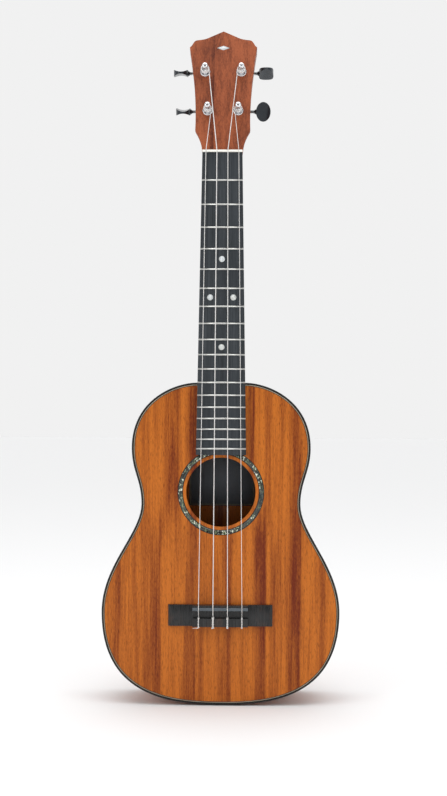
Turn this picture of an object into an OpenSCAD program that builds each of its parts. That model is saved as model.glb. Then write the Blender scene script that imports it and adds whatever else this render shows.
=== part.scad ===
// Tenor ukulele with four open-geared tuners.
// Origin: on the centre line at the nut, in the plane of the soundboard's face.
// +Z runs up the neck, the soundboard faces -Y, and the bass side is at -X.

/* [Scale and strings] */
// String length from the nut to the saddle
scale_length = 430; // [427:1:433]
// Number of frets
fret_count = 18; // [15:1:18]
// Distance between neighbouring strings at the nut
string_gap_nut = 10.35; // [10:0.05:10.6]
// Distance between neighbouring strings at the saddle
string_gap_saddle = 13.8; // [13.4:0.1:14.2]
// Height of the strings above the crown of the twelfth fret
action_12 = 2.3; // [2:0.1:3]

/* [Body] */
// Length of the body along the centre line
body_length = 309.5; // [307:0.5:312]
// Width across the lower bout
lower_bout_w = 228.6; // [225:0.2:232]
// Width across the waist
waist_w = 152.2; // [150:0.2:155]
// Width across the upper bout
upper_bout_w = 171.2; // [169:0.2:174]
// Depth of the body at the tail, from front face to back face
depth_tail = 72; // [70:0.5:74]
// Depth of the body at the neck
depth_neck = 64; // [62:0.5:66]
// Thickness of the top plate
top_t = 2; // [1.8:0.1:2.2]
// Thickness of the back plate
back_t = 2; // [1.8:0.1:2.4]
// Thickness of the bent sides
side_t = 2.4; // [2.3:0.1:2.6]
// Width of the binding strip seen from the front
binding_w = 2; // [1.8:0.1:2.1]

/* [Soundhole and rosette] */
// Radius of the soundhole
hole_r = 33.2; // [31:0.1:34]
// Distance of the soundhole's centre from the nut
hole_from_nut = 319.6; // [319:0.1:321]
// Inner radius of the rosette
rosette_in_r = 36.4; // [35.5:0.1:37]
// Outer radius of the rosette
rosette_out_r = 41.4; // [40.5:0.1:42]

/* [Neck and fingerboard] */
// Width of the fingerboard at the nut
nut_w = 38; // [37.5:0.1:38.5]
// Width of the fingerboard at its body end
board_end_w = 47.8; // [47:0.1:48.4]
// Thickness of the fingerboard
board_t = 5.5; // [5:0.1:6]
// Length of the fingerboard from the nut
board_l = 284; // [282:1:285]
// Depth of the neck shaft under the fingerboard at the nut
neck_depth_nut = 13.5; // [13:0.5:15]
// Depth of the neck shaft where the heel begins
neck_depth_heel = 16; // [15:0.5:18]

/* [Headstock] */
// Angle by which the headstock leans back
head_tilt = 13; // [12.5:0.5:13.5]
// Length of the headstock from the nut to its tip
head_length = 129.8; // [128:0.2:131]
// Thickness of the headstock with its veneer
head_t = 14; // [13:0.5:15]
// Thickness of the headstock's face veneer
veneer_t = 1.5; // [1:0.1:2]

/* [Bridge] */
// Length of the bridge across the strings
bridge_l = 100; // [96:1:104]
// Length of the bridge's raised centre
bridge_mid_l = 53; // [51:1:55]
// Width of the bridge along the strings
bridge_w = 20.5; // [20:0.1:21]
// Height of the raised centre above the soundboard
bridge_h = 8; // [7.8:0.1:8.3]
// Height of the wings at their crown
wing_h = 3.6; // [3:0.1:4]

/* [Tuners] */
// Distance of the lower posts from the centre line
post_x_low = 14.6; // [14.5:0.1:14.8]
// Distance of the upper posts from the centre line
post_x_high = 17.4; // [17.2:0.1:17.8]
// Distance of the lower posts from the nut, along the headstock
post_w_low = 46.3; // [45.5:0.1:47]
// Distance of the upper posts from the nut, along the headstock
post_w_high = 86.9; // [86:0.1:88]
// Turn of each button about its shaft at rest, from the bass string: 0 faces forwards
button_turn = [123, 113, 86, 27]; // [0:1:180]

/* [Hidden] */

// Colours
mahogany = [0.72, 0.42, 0.2];
neck_wood = [0.62, 0.37, 0.26];
spruce = [0.85, 0.7, 0.5];
ebony = [0.13, 0.14, 0.15];
black_plastic = [0.08, 0.09, 0.1];
chrome = [0.8, 0.82, 0.84];
nylon = [0.93, 0.92, 0.9];
pearl = [0.88, 0.9, 0.88];

// Places along the string line: z is the distance above the nut
function fret_distance(n) = scale_length * (1 - pow(2, -n / 12));
joint_z = -fret_distance(12);
tail_z = joint_z - body_length;
hole_z = -hole_from_nut;
saddle_z = -scale_length - 1;
back_tilt = atan((depth_tail - depth_neck) / body_length);
far = 100;

// Curves and outlines -------------------------------------------------------

function bezier(p, t) =
    pow(1 - t, 3) * p[0] + 3 * t * pow(1 - t, 2) * p[1] + 3 * t * t * (1 - t) * p[2] + pow(t, 3) * p[3];
function bezier_run(p, steps) = [for (i = [0 : steps - 1]) bezier(p, i / steps)];
function unit(v) = v / norm(v);

// Half of the body outline from the tail to the flat where the neck is glued on,
// as [distance from the centre line, distance from the tail]
lower_z = 89;
waist_z = 193.5;
upper_z = 247;
joint_flat = 23.5;
body_curves = [
    [[0, 0], [46, 0], [lower_bout_w / 2, 5.5], [lower_bout_w / 2, lower_z]],
    [[lower_bout_w / 2, lower_z], [lower_bout_w / 2, lower_z + 45],
        [waist_w / 2, waist_z - 28.5], [waist_w / 2, waist_z]],
    [[waist_w / 2, waist_z], [waist_w / 2, waist_z + 22.5],
        [upper_bout_w / 2, upper_z - 22.5], [upper_bout_w / 2, upper_z]],
    [[upper_bout_w / 2, upper_z], [upper_bout_w / 2, upper_z + 47],
        [43.5, body_length], [joint_flat, body_length]]
];
curve_steps = 40;
half_outline = concat(
    [for (c = body_curves) each bezier_run(c, curve_steps)],
    [[joint_flat, body_length]]
);
function running_length(points, i, sums) =
    i == len(points) ? sums
    : running_length(points, i + 1, concat(sums, [sums[i - 1] + norm(points[i] - points[i - 1])]));
half_sums = running_length(half_outline, 1, [0]);
half_length = half_sums[len(half_sums) - 1];
x_by_length = [for (i = [0 : len(half_outline) - 1]) [half_sums[i], half_outline[i][0]]];
z_by_length = [for (i = [0 : len(half_outline) - 1]) [half_sums[i], half_outline[i][1]]];
x_by_z = [for (p = half_outline) [p[1] + tail_z, p[0]]];

// Point and inward normal at a length s along the half outline
function edge_point(s) =
    s < 0 ? [-lookup(-s, x_by_length), lookup(-s, z_by_length)]
    : s > half_length ? [joint_flat - (s - half_length), body_length]
    : [lookup(s, x_by_length), lookup(s, z_by_length)];
function edge_along(s) = unit(edge_point(s + 0.5) - edge_point(s - 0.5));
function inset_point(s, inset) =
    edge_point(s) + inset * [-edge_along(s)[1], edge_along(s)[0]] + [0, tail_z];
function mirrored(points) = [for (i = [len(points) - 1 : -1 : 0]) [-points[i][0], points[i][1]]];
outline_steps = 96;
step_length = half_length / outline_steps;
function half_inset(inset) = [for (i = [0 : outline_steps]) inset_point(i * step_length, inset)];
function outline(inset) =
    let (half = half_inset(inset))
    concat(half, mirrored([for (i = [1 : outline_steps]) half[i]]));
function half_width_at(z) = lookup(z, x_by_z);

// A closed strip between two outlines
module strip(outer, inner) {
    polygon(
        concat(outer, inner),
        [[for (i = [0 : len(outer) - 1]) i], [for (i = [0 : len(inner) - 1]) len(outer) + i]]
    );
}

// Extrudes a shape drawn as [x, z] from y0 to y1
module extrude_y(y0, y1) {
    translate([0, y1, 0]) rotate([90, 0, 0]) linear_extrude(y1 - y0) children();
}

// The space between two planes parallel to the back, measured out from its outer face
module back_layer(from, to) {
    translate([0, depth_tail, tail_z])
        rotate([back_tilt, 0, 0])
            translate([-150, from, -60])
                cube([300, to - from, body_length + 120]);
}

// Frame of the headstock: y is the depth below its face, z the distance from the nut
module on_headstock() {
    rotate([-head_tilt, 0, 0]) children();
}

// Skin of a solid made of rings with the same number of points each
module skin(rings) {
    sides = len(rings[0]);
    last = len(rings) - 1;
    polyhedron(
        [for (ring = rings) each ring],
        concat(
            [[for (k = [0 : sides - 1]) k]],
            [for (i = [0 : last - 1], k = [0 : sides - 1])
                [i * sides + k, (i + 1) * sides + k, (i + 1) * sides + (k + 1) % sides,
                    i * sides + (k + 1) % sides]],
            [[for (k = [sides - 1 : -1 : 0]) last * sides + k]]
        ),
        convexity = 6
    );
}

// Body shell ----------------------------------------------------------------

binding_d = 5;
purfling_w = 0.5;
purfling_d = 1;
rosette_d = 0.8;
border_w = 0.7;

module binding_top_shape() {
    extrude_y(0, binding_d) strip(outline(0), outline(binding_w));
}

module binding_back_shape() {
    intersection() {
        extrude_y(depth_neck / 2, far) strip(outline(0), outline(binding_w));
        back_layer(-binding_d, 0);
    }
}

module top() {
    color(mahogany)
        difference() {
            extrude_y(0, top_t) polygon(outline(binding_w));
            extrude_y(-1, purfling_d) strip(outline(binding_w - 1), outline(binding_w + 2 * purfling_w));
            extrude_y(-1, top_t + 1) translate([0, hole_z]) circle(hole_r, $fn = 96);
            ring_y(rosette_in_r, rosette_out_r, -1, rosette_d);
        }
}

module ring_y(inner_r, outer_r, y0, y1) {
    translate([0, 0, hole_z])
        difference() {
            extrude_y(y0, y1) circle(outer_r, $fn = 120);
            extrude_y(y0 - 1, y1 + 1) circle(inner_r, $fn = 120);
        }
}

module back() {
    color(mahogany)
        intersection() {
            extrude_y(depth_neck / 2, far) polygon(outline(binding_w));
            back_layer(-back_t, 0);
        }
}

// The neck's tenon, glued into the neck block through the sides
tenon_w = 16;
tenon_l = 14;
module tenon(extra) {
    translate([-tenon_w / 2, 8, joint_z - tenon_l]) cube([tenon_w, 42, tenon_l + extra]);
}

module side(direction) {
    color(mahogany)
        difference() {
            intersection() {
                extrude_y(top_t, far) strip(outline(0), outline(side_t));
                back_layer(-far, -back_t);
                translate([direction > 0 ? 0 : -far * 2, 0, tail_z - 1])
                    cube([far * 2, far, body_length + 2]);
            }
            binding_top_shape();
            binding_back_shape();
            tenon(1);
        }
}

module side_bass() {
    side(-1);
}

module side_treble() {
    side(1);
}

module binding_top() {
    color(black_plastic) binding_top_shape();
}

module binding_back() {
    color(black_plastic) binding_back_shape();
}

module purfling_pale() {
    color(pearl)
        extrude_y(0, purfling_d) strip(outline(binding_w), outline(binding_w + purfling_w));
}

module purfling_dark() {
    color(ebony)
        extrude_y(0, purfling_d)
            strip(outline(binding_w + purfling_w), outline(binding_w + 2 * purfling_w));
}

// Blocks, linings and braces inside the body ---------------------------------

neck_block_l = 24;
tail_block_l = 16;
block_half_w = 30;
module neck_block_zone() {
    translate([-block_half_w, 0, joint_z - side_t - neck_block_l])
        cube([2 * block_half_w, far, side_t + neck_block_l + 1]);
}

module tail_block_zone() {
    translate([-block_half_w, 0, tail_z - 1]) cube([2 * block_half_w, far, side_t + tail_block_l + 1]);
}

// The room inside the sides, between the top and the back
module inner_space() {
    intersection() {
        extrude_y(top_t, far) polygon(outline(side_t));
        back_layer(-far, -back_t);
    }
}

module neck_block() {
    color(spruce)
        difference() {
            intersection() {
                inner_space();
                neck_block_zone();
            }
            tenon(1);
        }
}

module tail_block() {
    color(spruce)
        intersection() {
            inner_space();
            tail_block_zone();
        }
}

// A kerfed lining is a strip with saw cuts in its inner edge, so that it bends
lining_w = 5;
lining_d = 8;
kerf = 1.2;
kerf_left = 1.2;
function comb(s) = [
    inset_point(s - kerf / 2, side_t + lining_w),
    inset_point(s - kerf / 2, side_t + kerf_left),
    inset_point(s + kerf / 2, side_t + kerf_left),
    inset_point(s + kerf / 2, side_t + lining_w)
];
half_comb = [for (i = [1 : 2 : outline_steps - 1]) each comb(i * step_length)];
module lining_strip() {
    strip(outline(side_t), concat(half_comb, mirrored(half_comb)));
}

module linings_top() {
    color(spruce)
        difference() {
            extrude_y(top_t, top_t + lining_d) lining_strip();
            neck_block_zone();
            tail_block_zone();
        }
}

module linings_back() {
    color(spruce)
        difference() {
            intersection() {
                extrude_y(depth_neck / 2, far) lining_strip();
                back_layer(-back_t - lining_d, -back_t);
            }
            neck_block_zone();
            tail_block_zone();
        }
}

// A brace across the body: its ends taper down inside the linings
brace_w = 6;
brace_h = 10;
module cross_brace(z) {
    reach = min(half_width_at(z - brace_w / 2), half_width_at(z + brace_w / 2)) - side_t - lining_w - 4;
    linear_extrude(brace_w, center = true)
        polygon([[-reach, 0], [reach, 0], [reach, 3], [reach - 22, brace_h],
            [22 - reach, brace_h], [-reach, 3]]);
}

upper_brace_z = hole_z + 58;
lower_brace_z = hole_z - 58;
module top_transverse_braces() {
    color(spruce)
        for (z = [upper_brace_z, lower_brace_z])
            translate([0, top_t, z]) cross_brace(z);
}

plate_w = 26;
plate_l = 130;
plate_t = 2;
module bridge_plate_shape() {
    translate([-plate_l / 2, top_t, saddle_z - 5 - plate_w / 2]) cube([plate_l, plate_t, plate_w]);
}

fan_l = 104;
fan_w = 5;
fan_h = 6;
fan_angle = 14;
module top_fan_braces() {
    color(spruce)
        difference() {
            for (k = [-1 : 1])
                translate([k * 22, top_t, lower_brace_z - brace_w])
                    rotate([0, -k * fan_angle, 0])
                        translate([-fan_w / 2, 0, -fan_l])
                            cube([fan_w, fan_h, fan_l]);
            bridge_plate_shape();
        }
}

module bridge_plate() {
    color(spruce) bridge_plate_shape();
}

module back_braces() {
    color(spruce)
        for (up = [66, 156, 252])
            translate([0, depth_tail, tail_z])
                rotate([back_tilt, 0, 0])
                    translate([0, -back_t, up])
                        mirror([0, 1, 0]) cross_brace(tail_z + up);
}

// Decoration of the body -----------------------------------------------------

module rosette_shell() {
    color(pearl) ring_y(rosette_in_r + border_w, rosette_out_r - border_w, 0, rosette_d);
}

module rosette_borders() {
    color(ebony) {
        ring_y(rosette_in_r, rosette_in_r + border_w, 0, rosette_d);
        ring_y(rosette_out_r - border_w, rosette_out_r, 0, rosette_d);
    }
}

label_w = 66;
label_h = 56;
label_t = 0.2;
label_up = hole_z - tail_z + 11;
module label() {
    color(ebony)
        translate([0, depth_tail, tail_z])
            rotate([back_tilt, 0, 0])
                translate([-label_w / 2, -back_t - label_t, label_up - label_h / 2])
                    cube([label_w, label_t, label_h]);
}

// Neck -----------------------------------------------------------------------

function board_half_w(z) = (nut_w + (board_end_w - nut_w) * (-z / board_l)) / 2;

// Half of the headstock outline, as [distance from the centre line, distance from the nut]
head_side = bezier_run([[26.3, 26.3], [25.4, 52], [27.4, 80], [32.6, head_length - 16.8]], 10);
head_ear = bezier_run([[32.6, head_length - 16.8], [29.4, head_length - 15.4],
    [29.6, head_length - 9.8], [25.3, head_length - 9.4]], 7);
head_scoop = bezier_run([[25.3, head_length - 9.4], [21, head_length - 9], [17.5, head_length - 8.4],
    [14.7, head_length - 7]], 5);
head_neck = bezier_run([[nut_w / 2 + 0.2, 0], [nut_w / 2 + 0.4, 12], [21.6, 17.5], [26.3, 26.3]], 10);
head_half = concat(head_neck, head_side, head_ear, head_scoop, [[14.7, head_length - 7], [0, head_length]]);
head_half_table = [for (p = concat(head_neck, head_side)) [p[1], p[0]]];
function head_half_w(w) = lookup(w, head_half_table);

// One cross-section of the neck: a flat face and a rounded underside
section_steps = 20;
function section(half_w, depth, squareness) = [
    for (i = [0 : section_steps])
        let (a = 180 * i / section_steps, c = cos(a), e = 2 / squareness)
            [half_w * sign(c) * pow(abs(c), e), depth * pow(max(0, sin(a)), e)]
];
function on_head(points) = [
    for (p = points) [p[0], p[1] * cos(head_tilt) + p[2] * sin(head_tilt),
        p[2] * cos(head_tilt) - p[1] * sin(head_tilt)]
];
function shaft_depth(z) = neck_depth_nut + (neck_depth_heel - neck_depth_nut) * min(1, -z / 150);

// The heel curves round a pivot behind the neck, given as [y, z]: each section reaches from
// the fingerboard's plane or the body's end towards that pivot
heel_tip_w = 11.5;
heel_tip_l = 17;
heel_curve_l = 38;
heel_steps = 14;
heel_pivot = [depth_neck + 3, joint_z + heel_tip_l + heel_curve_l];
heel_rings = [
    for (i = [0 : heel_steps])
        let (
            a = 90 * i / heel_steps,
            ray = [-(heel_pivot[0] - neck_depth_heel) * sin(a), -heel_curve_l * cos(a)],
            to_board = sin(a) > 0.001 ? -heel_pivot[0] / ray[0] : far,
            to_body = cos(a) > 0.001 ? (joint_z - heel_pivot[1]) / ray[1] : far,
            foot = heel_pivot + min(to_board, to_body) * ray,
            reach = norm(foot - heel_pivot) - norm(ray),
            q = min(1, foot[0] / depth_neck),
            half_w = board_half_w(foot[1]) * (1 - q) + heel_tip_w * q
        )
        [for (p = section(half_w, reach, 2.15)) let (at = foot - p[1] * unit(ray)) [p[0], at[0], at[1]]]
];

// The shaft, and the bend from the neck into the headstock
bend_l = 14;
bend_steps = 4;
head_joint_w = 33;
nut_from = 2.1;
nut_l = 4.5;
function head_ring(w, top, bottom, squareness) =
    on_head([for (p = section(head_half_w(w), bottom - top, squareness)) [p[0], p[1] + top, w]]);
neck_rings = concat(
    heel_rings,
    [for (z = [-120, -80, -45, -bend_l])
        [for (p = section(board_half_w(z), shaft_depth(z), 2.2)) [p[0], p[1], z]]],
    [for (k = [1 : bend_steps])
        let (z = -bend_l * (1 - k / bend_steps), lean = head_tilt * k / bend_steps)
            [for (p = section(board_half_w(z), shaft_depth(z) + 0.1 * k, 2.2 + 0.2 * k))
                [p[0], p[1] * cos(lean), z - p[1] * sin(lean)]]],
    [head_ring(nut_l - 0.1, -(nut_l - 0.1) * tan(head_tilt), head_t, 3),
        head_ring(nut_l + 0.2, veneer_t, head_t, 3)],
    [for (p = [[10, 2.8], [14, 2.7], [18, 2.7], [22, 2.8], [26.3, 3.2], [29.5, 5], [head_joint_w, 12]])
        head_ring(p[0], veneer_t, head_t, p[1])]
);

module head_outline() {
    polygon(concat(head_half, mirrored([for (i = [0 : len(head_half) - 2]) head_half[i]])));
}

// The part of the headstock outline that lies beyond w
module head_beyond(w) {
    intersection() {
        head_outline();
        translate([-far, w]) square(2 * far);
    }
}

module post_holes(radius, y0, y1) {
    on_headstock()
        for (x = [-1, 1], p = [[post_x_low, post_w_low], [post_x_high, post_w_high]])
            translate([x * p[0], y0, p[1]]) rotate([-90, 0, 0]) cylinder(r = radius, h = y1 - y0, $fn = 48);
}

module neck() {
    color(neck_wood)
        union() {
            difference() {
                skin(neck_rings);
                back_layer(-back_t, far);
            }
            tenon(2);
        }
}

module heel_cap() {
    color(black_plastic)
        intersection() {
            skin(neck_rings);
            back_layer(-back_t, 0);
        }
}

module headstock() {
    color(neck_wood)
        difference() {
            on_headstock() extrude_y(veneer_t, head_t) head_beyond(head_joint_w);
            post_holes(bushing_r, -1, head_t + 1);
            plate_screw_positions() translate([0, head_t - screw_l, 0]) pilot_hole();
        }
}

module headstock_veneer() {
    color(neck_wood)
        difference() {
            on_headstock() extrude_y(0, veneer_t) head_beyond(nut_l + 0.2);
            post_holes(bushing_r, -1, veneer_t + 1);
            inlay_shape(-0.5);
        }
}

// A plain lozenge let into the headstock's face
inlay_w = 112;
inlay_t = 0.8;
module inlay_shape(y0) {
    on_headstock()
        extrude_y(y0, inlay_t)
            translate([0, inlay_w]) polygon([[-6, 0], [0, -2.2], [6, 0], [0, 2.2]]);
}

module headstock_inlay() {
    color(pearl) inlay_shape(0);
}

// Fingerboard ----------------------------------------------------------------

fret_w = 1.7;
fret_h = 0.8;
tang_w = 0.5;
tang_d = 1.6;
dot_r = 2.8;
dot_d = 1.2;
dots = [[5, 0], [7, -11], [7, 11], [10, 0]];
function between_frets(n) = -(fret_distance(n) + fret_distance(n - 1)) / 2;

module fret_tangs() {
    for (n = [1 : fret_count])
        translate([-board_end_w / 2, -board_t, -fret_distance(n) - tang_w / 2])
            cube([board_end_w, tang_d, tang_w]);
}

module dot_shapes() {
    for (d = dots)
        translate([d[1], -board_t, between_frets(d[0])])
            rotate([-90, 0, 0]) cylinder(r = dot_r, h = dot_d, $fn = 48);
}

module board_plan() {
    polygon([[-nut_w / 2, nut_from], [-nut_w / 2, 0], [-board_end_w / 2, -board_l],
        [board_end_w / 2, -board_l], [nut_w / 2, 0], [nut_w / 2, nut_from]]);
}

module fingerboard() {
    color(ebony)
        difference() {
            extrude_y(-board_t, 0) board_plan();
            fret_tangs();
            dot_shapes();
        }
}

// Each fret is a round crown over a thin tang pressed into its slot
module frets() {
    color(chrome)
        intersection() {
            union() {
                for (n = [1 : fret_count])
                    translate([0, -board_t, -fret_distance(n)])
                        intersection() {
                            rotate([0, 90, 0])
                                cylinder(r = fret_w / 2, h = board_end_w, center = true, $fn = 32);
                            translate([-board_end_w, -fret_h, -fret_w])
                                cube([2 * board_end_w, fret_h, 2 * fret_w]);
                        }
                fret_tangs();
            }
            extrude_y(-board_t - 2, 0) board_plan();
        }
}

module position_dots() {
    color(pearl) dot_shapes();
}

// Strings: name order is G, C, E, A from the bass side ------------------------

string_r = [0.35, 0.5, 0.42, 0.32];
string_side = [-1, -1, 1, 1];
string_place = [1.5, 0.5, 0.5, 1.5];
function nut_x(i) = string_side[i] * string_place[i] * string_gap_nut;
function saddle_x(i) = string_side[i] * string_place[i] * string_gap_saddle;
function is_low(i) = string_place[i] > 1;
function post_x(i) = is_low(i) ? post_x_low : post_x_high;
function post_w(i) = is_low(i) ? post_w_low : post_w_high;

nut_rest_y = -board_t - fret_h - 0.3;
saddle_rest_y = 2 * (-board_t - fret_h - action_12) - nut_rest_y;
nut_top = 0.7;
rest_gap = 0.03;

module nut() {
    color([0.93, 0.92, 0.88])
        difference() {
            rotate([90, 0, 90])
                linear_extrude(nut_w, center = true)
                    polygon([[0, nut_from], [0, nut_l], [nut_rest_y + 1, nut_l],
                        [nut_rest_y - nut_top + 0.5, nut_l - 1.2],
                        [nut_rest_y - nut_top, nut_from + 0.5],
                        [nut_rest_y - nut_top + 0.2, nut_from]]);
            for (i = [0 : 3])
                translate([nut_x(i) - string_r[i] - 0.05, nut_rest_y - 5, -1])
                    cube([2 * string_r[i] + 0.1, 5, nut_l + 2]);
        }
}

// Bridge ----------------------------------------------------------------------

bridge_top_z = saddle_z + 3.4;
saddle_w = 3;
slot_floor = 4;
channel_floor = 3.6;
tie_w = 8;
tie_hole_h = 5.4;
tie_hole_r = 0.9;

// Wings: crowned across their width, with slanting ends
module bridge_wings() {
    crown_r = (pow(bridge_w / 2, 2) + 1) / 2;
    intersection() {
        translate([0, 0, bridge_top_z - bridge_w]) linear_extrude(bridge_w)
            polygon([[-bridge_l / 2, 0], [-bridge_l / 2, -0.8], [3 - bridge_l / 2, -wing_h],
                [bridge_l / 2 - 3, -wing_h], [bridge_l / 2, -0.8], [bridge_l / 2, 0]]);
        translate([0, crown_r - wing_h, bridge_top_z - bridge_w / 2])
            rotate([0, 90, 0]) cylinder(r = crown_r, h = bridge_l + 2, center = true, $fn = 200);
    }
}

module bridge() {
    mid = bridge_mid_l / 2;
    low_z = bridge_top_z - bridge_w;
    channel_w = saddle_z - saddle_w / 2 - 1 - low_z - tie_w;
    color(ebony)
        difference() {
            union() {
                bridge_wings();
                translate([-mid, -bridge_h, low_z]) cube([2 * mid, bridge_h, bridge_w]);
            }
            translate([-mid - 1, -bridge_h - 1, saddle_z - saddle_w / 2])
                cube([2 * mid + 2, bridge_h + 1 - slot_floor, saddle_w]);
            translate([-mid - 1, -bridge_h - 1, low_z + tie_w])
                cube([2 * mid + 2, bridge_h + 1 - channel_floor, channel_w]);
            for (i = [0 : 3])
                translate([saddle_x(i), -tie_hole_h, low_z - 1])
                    cylinder(r = tie_hole_r, h = tie_w + 2, $fn = 24);
        }
}

module saddle() {
    color([0.2, 0.21, 0.22])
        translate([0, 0, saddle_z])
            rotate([90, 0, 90])
                linear_extrude(bridge_mid_l, center = true)
                    polygon([[-slot_floor, -1.5], [-slot_floor, 1.5], [saddle_rest_y + 0.7, 1.5],
                        [saddle_rest_y + 0.2, 1.1], [saddle_rest_y, 0.4], [saddle_rest_y, -0.4],
                        [saddle_rest_y + 0.2, -1.1], [saddle_rest_y + 0.7, -1.5]]);
}

// Route of one string, from its tied end over the saddle and nut to its post.
// The winding is a loop of short steps round the post.
coil_turns = 2.75;
coil_steps = 12;
coil_start = 3.4;
post_r = 3;
coil_gap = 0.1;
nut_bend = 3.5;
function string_route(i) =
    let (
        r = string_r[i],
        side = string_side[i],
        low_z = bridge_top_z - bridge_w,
        tie_y = -bridge_h - r - rest_gap,
        rest_y = saddle_rest_y - r - rest_gap,
        nut_y = nut_rest_y - r - rest_gap,
        x = saddle_x(i),
        nx = nut_x(i),
        // where the string bends over the nut, in the headstock's frame
        nut_back = [nut_y * cos(head_tilt) - nut_bend * sin(head_tilt),
            nut_y * sin(head_tilt) + nut_bend * cos(head_tilt)],
        coil_r = post_r + r + coil_gap,
        du = post_x(i) - abs(nx),
        dw = post_w(i) - nut_back[1],
        heading = atan2(dw, du) + asin(coil_r / norm([du, dw])),
        pitch = 2 * r + 0.25,
        coil = [for (k = [0 : coil_turns * coil_steps])
            let (a = heading + 90 - 360 * k / coil_steps)
                [side * (post_x(i) + coil_r * cos(a)), -coil_start - pitch * k / coil_steps,
                    post_w(i) + coil_r * sin(a)]]
    )
    concat(
        [[x, tie_y, low_z + tie_w - 0.5]],
        [for (a = [0 : 30 : 90])
            [x, -bridge_h - (r + 0.08) * cos(a), low_z - (r + 0.08) * sin(a)]],
        [[x, -tie_hole_h - 0.9, low_z - r - 0.3], [x, -tie_hole_h - 0.3, low_z - 0.5],
            [x, -tie_hole_h, low_z + 0.5], [x, -tie_hole_h, low_z + tie_w + 0.4],
            [x, rest_y, saddle_z - 1.3], [x, rest_y, saddle_z + 0.5]],
        [for (t = [0.2 : 0.2 : 0.8])
            [x + (nx - x) * t, rest_y + (nut_y - rest_y) * t, saddle_z * (1 - t) + nut_from * t]],
        [[nx, nut_y, nut_from - 0.2]],
        on_head([[nx, nut_back[0], nut_back[1]]]),
        on_head(coil)
    );

// Sweeps a round string along a route, carrying its ring of points without twist
string_sides = 8;
function tangent_at(route, i) =
    let (last = len(route) - 1)
    i == 0 ? unit(route[1] - route[0])
    : i == last ? unit(route[last] - route[last - 1])
    : unit(unit(route[i + 1] - route[i]) + unit(route[i] - route[i - 1]));
function flattened(v, t) = unit(v - t * (v * t));
function carried(tangents, i, normals) =
    i == len(tangents) ? normals
    : carried(tangents, i + 1, concat(normals, [flattened(normals[i - 1], tangents[i])]));
module swept(route, radius) {
    tangents = [for (i = [0 : len(route) - 1]) tangent_at(route, i)];
    normals = carried(tangents, 1, [[1, 0, 0]]);
    skin([
        for (i = [0 : len(route) - 1])
            let (across = cross(tangents[i], normals[i]))
                [for (k = [0 : string_sides - 1])
                    let (a = 360 * k / string_sides)
                        route[i] + radius * (cos(a) * normals[i] + sin(a) * across)]
    ]);
}

module string_g() {
    color(nylon) swept(string_route(0), string_r[0]);
}

module string_c() {
    color(nylon) swept(string_route(1), string_r[1]);
}

module string_e() {
    color(nylon) swept(string_route(2), string_r[2]);
}

module string_a() {
    color(nylon) swept(string_route(3), string_r[3]);
}

// Tuners ----------------------------------------------------------------------
// Each is drawn about its post: x outwards along the button shaft, y the depth below
// the headstock's face, z towards the headstock's tip.

bushing_r = 4;
bushing_bore = post_r + 0.05;
flange_r = 4.9;
flange_t = 0.8;
post_top = 13.5;
stub_r = 2.2;
stub_flat = 3.4;
string_hole_y = -8.5;
tuner_plate_t = 1;
plate_face = head_t + tuner_plate_t;
gear_t = 3.6;
worm_y = plate_face + 4.2;
gear_low = worm_y - gear_t / 2;
gear_teeth = 14;
gear_pitch_r = 6;
worm_pitch_r = 2.9;
worm_w = gear_pitch_r + worm_pitch_r;
gear_tip_r = gear_pitch_r + 0.75;
gear_root_r = gear_pitch_r - 1;
worm_pitch = 2 * PI * gear_pitch_r / gear_teeth;
worm_root_r = 1.9;
worm_crest_r = 3.6;
worm_half_l = 4.9;
shaft_r = 1.5;
ear_in = 6;
ear_t = 1.2;
ear_half_w = 3;
button_x = 24.3;
button_l = 14.2;
button_h = 18.4;
button_t = 6;
button_waist = 1.9;
collar_l = 2;
collar_x = button_x - button_l / 2 - collar_l + 0.7;
shaft_end = button_x - button_l / 2 + 1.8;
screw_r = 1.1;
screw_l = 8;
screw_head_r = 2.4;
screw_head_t = 1.3;
screw_low = -11;
screw_high = worm_w + 6;

module at_tuner(i) {
    mirror([string_side[i] < 0 ? 1 : 0, 0, 0])
        on_headstock() translate([post_x(i), 0, post_w(i)]) children();
}

module plate_screw_positions() {
    for (i = [0 : 3], w = [screw_low, screw_high])
        at_tuner(i) translate([0, 0, w]) children();
}

module pilot_hole() {
    rotate([-90, 0, 0]) cylinder(r = screw_r, h = screw_l + 2, $fn = 24);
}

// Base plate with two ears that carry the worm's shaft
module tuner_plates() {
    color(chrome)
        for (i = [0 : 3])
            at_tuner(i)
                difference() {
                    union() {
                        extrude_y(head_t, plate_face) plate_plan();
                        for (x = [-ear_in - ear_t, ear_in])
                            translate([x, 0, worm_w]) ear();
                    }
                    translate([0, head_t - 1, 0])
                        rotate([-90, 0, 0]) cylinder(r = bushing_bore, h = 4, $fn = 48);
                    translate([-ear_in - 3, worm_y, worm_w])
                        rotate([0, 90, 0]) cylinder(r = shaft_r + 0.05, h = 2 * ear_in + 6, $fn = 32);
                    for (w = [screw_low, screw_high])
                        translate([0, head_t - 1, w])
                            rotate([-90, 0, 0]) cylinder(r = screw_r, h = 4, $fn = 24);
                }
}

module plate_plan() {
    low = screw_low - 3.5;
    high = screw_high + 3.5;
    polygon([[-4, low], [4, low], [8, low + 5], [8, high - 4], [5, high], [-5, high], [-8, high - 4],
        [-8, low + 5]]);
}

module ear() {
    translate([0, plate_face - 0.5, -ear_half_w])
        cube([ear_t, worm_y - plate_face + 0.5, 2 * ear_half_w]);
    translate([0, worm_y, 0])
        rotate([0, 90, 0]) cylinder(r = ear_half_w, h = ear_t, $fn = 48);
}

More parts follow.
